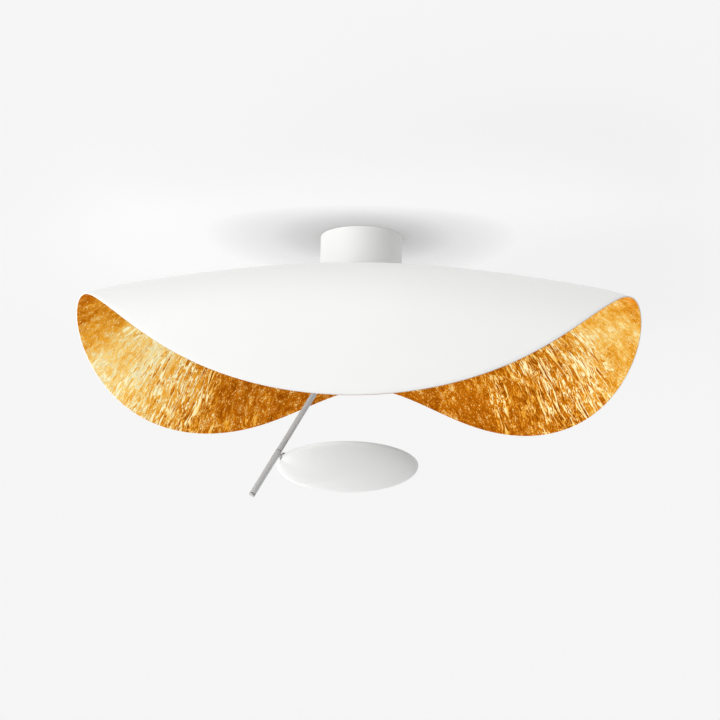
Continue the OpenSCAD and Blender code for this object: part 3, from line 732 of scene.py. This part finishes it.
def rod_metal(name, tint):
    """Satin grey coat whose grain runs along the rod."""
    nodes = Nodes(name)
    upright = Vector(JOINTS["grip_turn"]["axis"]).rotation_difference(Vector((0, 0, 1)))
    turned = nodes.add("ShaderNodeMapping", {"Rotation": upright.to_euler()})
    nodes.link(nodes.add("ShaderNodeTexCoord").outputs["Object"], turned.inputs["Vector"])
    stretched = nodes.add("ShaderNodeMapping", {"Scale": (2600, 2600, 40)})
    nodes.link(turned.outputs["Vector"], stretched.inputs["Vector"])
    grain = nodes.noise(stretched.outputs["Vector"], 1, roughness=0.6)
    tone = nodes.ramp(grain, two_tints(shaded(tint, 0.92), shaded(tint, 1.05)))
    polish = nodes.remap(grain, *NOISE_RANGE, 0.44, 0.32)
    return nodes.finish(tone, polish, nodes.bump(grain, 0.02 * MM, 0.6))


def moulded_plastic(name, tint, rough=0.5):
    """Moulded plastic with a fine spark-eroded texture."""
    nodes = Nodes(name)
    where = nodes.coordinates()
    patch = nodes.noise(where, 70)
    tone = nodes.ramp(patch, two_tints(shaded(tint, 0.95), tint))
    polish = nodes.remap(patch, *NOISE_RANGE, rough + 0.05, rough - 0.05)
    texture = nodes.noise(where, 2200, detail=2)
    return nodes.finish(tone, polish, nodes.bump(texture, 0.04 * MM, 0.5))


def opal_plastic(tint):
    """Milky diffuser that lets light into its skin."""
    nodes = Nodes("opal_diffuser")
    where = nodes.coordinates()
    patch = nodes.noise(where, 30, detail=2)
    tone = nodes.ramp(patch, two_tints(shaded(tint, 0.985), tint))
    polish = nodes.remap(patch, *NOISE_RANGE, 0.34, 0.28)
    frost = nodes.noise(where, 1500, detail=2)
    nodes.set(Subsurface_Weight=0.25, Subsurface_Scale=2 * MM)
    return nodes.finish(tone, polish, nodes.bump(frost, 0.02 * MM, 0.3))


def seen_rays(tree):
    """1 for the rays of the camera, of reflections and of what shines through, but 0 once a
    ray has left a dull surface, which then sees an even sky in place of the backdrop."""
    path = tree.nodes.new("ShaderNodeLightPath").outputs
    seen = path["Is Camera Ray"]
    for kind in ("Is Glossy Ray", "Is Transmission Ray"):
        seen = math_node(tree, "MAXIMUM", seen, path[kind])
    before_dull = math_node(tree, "LESS_THAN", path["Diffuse Depth"], 0.5)
    return math_node(tree, "MULTIPLY", seen, before_dull)


def backdrop_material(name, stage):
    """A pale surface that keeps a share of its own light and shadow, darkens close to other
    pieces with a painted contact shadow, and shows only its own side: from behind it is clear."""
    nodes = Nodes(name)
    tint = (*stage.surface, 1)
    nodes.set(Base_Color=tint, Roughness=1.0, Specular_IOR_Level=0.0)
    pale = nodes.add("ShaderNodeEmission", {"Color": tint})
    # Painted contact shadow: the backdrop's own glow dims close to other pieces
    near = nodes.add("ShaderNodeAmbientOcclusion", {"Distance": stage.contact_reach}, samples=8)
    painted_contact_shadow = nodes.remap(near.outputs["AO"], 0.0, 1.0, stage.contact_share, 1.0)
    nodes.link(painted_contact_shadow, pale.inputs["Strength"])
    share = nodes.product(seen_rays(nodes.tree), 1 - stage.shadow)
    lit = mix_shaders(nodes.tree, share, nodes.shader.outputs["BSDF"], pale.outputs["Emission"])
    behind = nodes.add("ShaderNodeNewGeometry").outputs["Backfacing"]
    clear = nodes.add("ShaderNodeBsdfTransparent").outputs["BSDF"]
    one_sided = mix_shaders(nodes.tree, behind, lit, clear)
    nodes.link(one_sided, nodes.tree.nodes["Material Output"].inputs["Surface"])
    nodes.material.cycles.emission_sampling = "NONE"
    return nodes.material


# Operators: one for each group of pieces


class LEAFLIGHT_OT_stage(bpy.types.Operator):
    """Sets the camera, the lamps, the ceiling and the floor"""

    bl_idname = "leaflight.stage"
    bl_label = "Stage"

    def execute(self, context):
        stage = context.scene.leaf_stage
        self.camera(context.scene, stage)
        self.world(context.scene, stage)
        self.surface("ceiling", stage.ceiling_gap, stage)
        self.surface("floor", stage.floor_height, stage)
        for name, towards in LAMPS:
            self.lamp(name + "_lamp", towards, getattr(stage, name), stage.spread)
        context.scene.view_settings.view_transform = "Standard"
        return {"FINISHED"}

    def camera(self, scene, stage):
        """Sets the camera at the photograph's viewing angle."""
        data = bpy.data.cameras.new("photo_camera")
        data.sensor_width = SENSOR_WIDTH_MM
        data.lens = stage.focal
        data.shift_x = stage.shift
        data.clip_end = 100
        camera = bpy.data.objects.new("photo_camera", data)
        scene.collection.objects.link(camera)
        back = Vector((
            math.sin(stage.azimuth) * math.cos(stage.elevation),
            -math.cos(stage.azimuth) * math.cos(stage.elevation),
            math.sin(stage.elevation),
        ))
        right = Vector((math.cos(stage.azimuth), math.sin(stage.azimuth), 0))
        target = Vector((0, 0, stage.target_height))
        turned = placed(target + back * stage.distance, right, back.cross(right))
        camera.matrix_world = turned @ Matrix.Rotation(stage.roll, 4, "Z")
        scene.camera = camera

    def world(self, scene, stage):
        """Lights the scene evenly from all round, in front of a pale backdrop."""
        world = bpy.data.worlds.new("studio")
        world.use_nodes = True
        tree = world.node_tree
        light = tree.nodes["Background"]
        light.inputs["Color"].default_value = (1, 1, 1, 1)
        light.inputs["Strength"].default_value = stage.sky
        seen = tree.nodes.new("ShaderNodeBackground")
        seen.inputs["Color"].default_value = (*stage.backdrop, 1)
        backdrop = seen.outputs["Background"]
        mix = mix_shaders(tree, seen_rays(tree), light.outputs["Background"], backdrop)
        tree.links.new(mix, tree.nodes["World Output"].inputs["Surface"])
        scene.world = world

    def surface(self, name, height, stage):
        """Adds the ceiling, which faces down, or the floor."""
        bm = bmesh.new()
        bmesh.ops.create_grid(bm, x_segments=1, y_segments=1, size=stage.room)
        if name == "ceiling":
            bmesh.ops.reverse_faces(bm, faces=bm.faces)
        bmesh.ops.translate(bm, verts=bm.verts, vec=(0, 0, height))
        mesh = bpy.data.meshes.new(name)
        bm.to_mesh(mesh)
        bm.free()
        surface = bpy.data.objects.new(name, mesh)
        bpy.context.scene.collection.objects.link(surface)
        mesh.materials.append(backdrop_material(name + "_paint", stage))
        surface.visible_diffuse = False
        surface.visible_shadow = False

    def lamp(self, name, towards, strength, spread):
        """Adds a broad sun that shines from this direction."""
        data = bpy.data.lights.new(name, "SUN")
        data.energy = strength
        data.angle = spread
        lamp = bpy.data.objects.new(name, data)
        bpy.context.scene.collection.objects.link(lamp)
        lamp.rotation_mode = "QUATERNION"
        lamp.rotation_quaternion = Vector(towards).to_track_quat("Z", "Y")


class LEAFLIGHT_OT_shade(bpy.types.Operator):
    """Folds the white sheet and lays the gold leaf under it"""

    bl_idname = "leaflight.shade"
    bl_label = "Folded shade"

    def execute(self, context):
        shade = context.scene.leaf_shade
        finishes = context.scene.leaf_finishes
        bm = folded_bmesh(shade, shade.hole_radius, shade.sheet_radius, shade.sheet_thickness, 0)
        soften(bm, context.scene.leaf_roundings.sheet, least=60)
        paint = satin_paint("shade_paint", finishes.paint)
        add_piece(bm, "folded_sheet", "ceiling_part", paint, ["shade_sheet"])
        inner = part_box("shade_washer")[1].x + shade.leaf_gap
        outer = shade.sheet_radius - shade.leaf_margin
        bm = folded_bmesh(shade, inner, outer, shade.leaf_thickness, shade.sheet_thickness)
        gold = gold_leaf_finish(finishes)
        leaf = add_piece(
            bm, "gilded_underside", "ceiling_part", gold, ["gold_leaf"], smooth=60
        )
        leaf.visible_diffuse = False
        return {"FINISHED"}


class LEAFLIGHT_OT_canopy(bpy.types.Operator):
    """Turns the canopy cup and its knurled nut"""

    bl_idname = "leaflight.canopy"
    bl_label = "Canopy"

    def execute(self, context):
        sizes = context.scene.leaf_canopy
        roundings = context.scene.leaf_roundings
        paint = satin_paint("canopy_paint", context.scene.leaf_finishes.paint)
        low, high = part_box("canopy_cup")
        inside = high.x - sizes.wall
        cup = spun([
            (sizes.bore, low.z), (high.x, low.z), (high.x, high.z),
            (inside, high.z), (inside, low.z + sizes.wall), (sizes.bore, low.z + sizes.wall),
        ], sizes.round_steps)
        soften(cup, roundings.cup, segments=4)
        piece = add_piece(cup, "canopy_shell", "ceiling_part", paint, ["canopy_cup"])
        even_normals(piece)
        self.nut(sizes, roundings.nut, paint)
        return {"FINISHED"}

    def nut(self, sizes, rounding, paint):
        """Makes the knurled nut, whose side is waved into flutes."""
        low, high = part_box("canopy_nut")
        bm = bmesh.new()
        bmesh.ops.create_cone(
            bm, cap_ends=True, segments=sizes.flutes * sizes.flute_steps,
            radius1=high.x, radius2=high.x, depth=high.z - low.z,
        )
        bmesh.ops.translate(bm, verts=bm.verts, vec=(0, 0, (low.z + high.z) / 2))
        caps = [face for face in bm.faces if len(face.verts) > 4]
        bmesh.ops.inset_region(bm, faces=caps, thickness=sizes.nut_margin, use_even_offset=True)
        for vert in bm.verts:
            radius = Vector((vert.co.x, vert.co.y)).length
            if radius > high.x - sizes.nut_margin / 2:
                wave = 0.5 - 0.5 * math.cos(sizes.flutes * math.atan2(vert.co.y, vert.co.x))
                shrink = 1 - sizes.flute_depth * wave / radius
                vert.co.x *= shrink
                vert.co.y *= shrink
        soften(bm, rounding, least=50)
        add_piece(bm, "canopy_knurled_nut", "ceiling_part", paint, ["canopy_nut"])


class LEAFLIGHT_OT_fixing(bpy.types.Operator):
    """Finishes the plate, strap, screws and electrics inside the canopy"""

    bl_idname = "leaflight.fixing"
    bl_label = "Ceiling fixing"

    def execute(self, context):
        finishes = context.scene.leaf_finishes
        zinc = brushed_metal("zinc_plate", finishes.zinc, rough=0.38)
        for node in ("ceiling_plate", "bridge_strap", "strap_screws", "upper_stem_nut",
                     "lower_stem_nut"):
            paint_node(node, zinc)
        paint_node("earth_screw", brushed_metal("brass_screw", finishes.brass, rough=0.3))
        ivory = moulded_plastic("ivory_plastic", finishes.ivory)
        paint_node("terminal_block", ivory)
        paint_node("driver", ivory)
        paint_node("driver_pad", moulded_plastic("foam_pad", finishes.foam, rough=0.9))
        paint_node("stem_tube", brushed_metal("stem_nickel", finishes.nickel))
        return {"FINISHED"}


class LEAFLIGHT_OT_swivel(bpy.types.Operator):
    """Finishes the washer, nut, swivel and fork under the shade"""

    bl_idname = "leaflight.swivel"
    bl_label = "Swivel"

    def execute(self, context):
        finishes = context.scene.leaf_finishes
        rounding = context.scene.leaf_roundings.swivel
        nickel = brushed_metal("swivel_nickel", finishes.nickel, grain_scale=(300, 300, 3000))
        for node in ("shade_washer", "shade_nut", "swivel_neck", "swivel_housing", "fork",
                     "pivot_screw", "pivot_nut"):
            softened_copy(node, rounding, nickel)
        slip = moulded_plastic("slip_washer", finishes.slip, rough=0.4)
        paint_node("upper_slip_washer", slip)
        paint_node("lower_slip_washer", slip)
        return {"FINISHED"}


class LEAFLIGHT_OT_arm(bpy.types.Operator):
    """Finishes the rod, the turning sleeve and the stub"""

    bl_idname = "leaflight.arm"
    bl_label = "Arm"

    def execute(self, context):
        finishes = context.scene.leaf_finishes
        roundings = context.scene.leaf_roundings
        nickel = rod_metal("rod_nickel", finishes.rod)
        for node in ("rod_eye", "rod_tube", "spigot", "grip_sleeve", "stub_pin"):
            softened_copy(node, roundings.rod, nickel)
        dark = rod_metal("end_cap_nickel", finishes.cap)
        softened_copy("end_cap", roundings.cap, dark)
        slip = moulded_plastic("sleeve_washer", finishes.sleeve_slip, rough=0.4)
        paint_node("sleeve_top_washer", slip)
        paint_node("sleeve_end_washer", slip)
        return {"FINISHED"}


class LEAFLIGHT_OT_head(bpy.types.Operator):
    """Turns the lamp head's dish and finishes what is in it"""

    bl_idname = "leaflight.head"
    bl_label = "Lamp head"

    def execute(self, context):
        head = context.scene.leaf_head
        finishes = context.scene.leaf_finishes
        roundings = context.scene.leaf_roundings
        self.dish(head, satin_paint("dish_paint", finishes.paint))
        nickel = brushed_metal("socket_nickel", finishes.nickel, metallic=0.2)
        softened_copy("socket_block", roundings.block, nickel)
        dark = brushed_metal("screw_nickel", finishes.dark_nickel, metallic=0.2)
        softened_copy("socket_screw", roundings.screws, dark)
        softened_copy("pin_set_screw", roundings.screws, dark)
        opal = opal_plastic(finishes.opal)
        softened_copy("diffuser", roundings.diffuser, opal)
        paint_node("heat_plate", brushed_metal("heat_aluminium", finishes.aluminium))
        paint_node("heat_plate_screws", brushed_metal("zinc_screws", finishes.zinc))
        paint_node("light_board", moulded_plastic("board_mask", finishes.board, rough=0.4))
        paint_node("light_chips", moulded_plastic("chip_phosphor", finishes.phosphor))
        return {"FINISHED"}

    def dish(self, head, paint):
        """Turns the dish with the ledge for its diffuser, and cuts the socket block's notch."""
        steps = head.arc_steps
        inner_radius = head.radius - head.wall
        inner_depth = head.depth - head.wall

        def inside(depth):
            """Radius of the dish's inner face at a depth below its edge."""
            return inner_radius * math.sqrt(1 - (depth / inner_depth) ** 2)

        ledge_low = head.ledge_depth + head.ledge_height
        ledge_in = inside(ledge_low) - head.ledge_width
        start = math.asin(ledge_low / inner_depth)
        turns = [math.pi / 2 * i / steps for i in range(steps + 1)]
        outer = [(head.radius * math.cos(a), -head.depth * math.sin(a)) for a in turns]
        floor = [math.pi / 2 - (math.pi / 2 - start) * i / steps for i in range(steps + 1)]
        inner = [(inner_radius * math.cos(a), -inner_depth * math.sin(a)) for a in floor]
        ledge = [
            (ledge_in, -ledge_low), (ledge_in, -head.ledge_depth),
            (inside(head.ledge_depth), -head.ledge_depth), (inner_radius, 0),
        ]
        bm = spun(outer + inner + ledge, head.round_steps)
        where = dish_frame(head)
        bmesh.ops.transform(bm, matrix=where, verts=bm.verts)
        piece = add_piece(bm, "lamp_dish", "head", paint, ["head_dish"])
        cutter = bmesh.new()
        long = head.radius - ledge_in + head.ledge_width
        bmesh.ops.create_cube(cutter, size=1)
        bmesh.ops.scale(cutter, verts=cutter.verts, vec=(long, head.notch, 2 * head.ledge_depth))
        bmesh.ops.translate(cutter, verts=cutter.verts, vec=(-head.radius, 0, 0))
        bmesh.ops.transform(cutter, matrix=where, verts=cutter.verts)
        carve(piece, cutter)


class LEAFLIGHT_PT_panel(bpy.types.Panel):
    """Lists the pieces of the ceiling light"""

    bl_label = "Leaf Light"
    bl_idname = "LEAFLIGHT_PT_panel"
    bl_space_type = "VIEW_3D"
    bl_region_type = "UI"
    bl_category = "Leaf Light"

    def draw(self, context):
        for operator in OPERATORS:
            self.layout.operator(operator.bl_idname)
        for name in SETTINGS:
            group = getattr(context.scene, name)
            box = self.layout.box()
            for key in group.bl_rna.properties.keys():
                if key not in ("rna_type", "name"):
                    box.prop(group, key)


SETTINGS = {
    "leaf_shade": ShadeSizes,
    "leaf_canopy": CanopySizes,
    "leaf_head": HeadSizes,
    "leaf_roundings": Roundings,
    "leaf_finishes": Finishes,
    "leaf_stage": StageSettings,
}
OPERATORS = (
    LEAFLIGHT_OT_stage,
    LEAFLIGHT_OT_shade,
    LEAFLIGHT_OT_canopy,
    LEAFLIGHT_OT_fixing,
    LEAFLIGHT_OT_swivel,
    LEAFLIGHT_OT_arm,
    LEAFLIGHT_OT_head,
)


def register():
    for group in SETTINGS.values():
        bpy.utils.register_class(group)
    for name, group in SETTINGS.items():
        setattr(bpy.types.Scene, name, PointerProperty(type=group))
    for operator in OPERATORS:
        bpy.utils.register_class(operator)
    bpy.utils.register_class(LEAFLIGHT_PT_panel)


def unregister():
    bpy.utils.unregister_class(LEAFLIGHT_PT_panel)
    for operator in reversed(OPERATORS):
        bpy.utils.unregister_class(operator)
    for name in SETTINGS:
        delattr(bpy.types.Scene, name)
    for group in reversed(list(SETTINGS.values())):
        bpy.utils.unregister_class(group)


def main():
    register()
    bpy.ops.leaflight.stage()
    bpy.ops.leaflight.shade()
    bpy.ops.leaflight.canopy()
    bpy.ops.leaflight.fixing()
    bpy.ops.leaflight.swivel()
    bpy.ops.leaflight.arm()
    bpy.ops.leaflight.head()


if __name__ == "__main__":
    main()
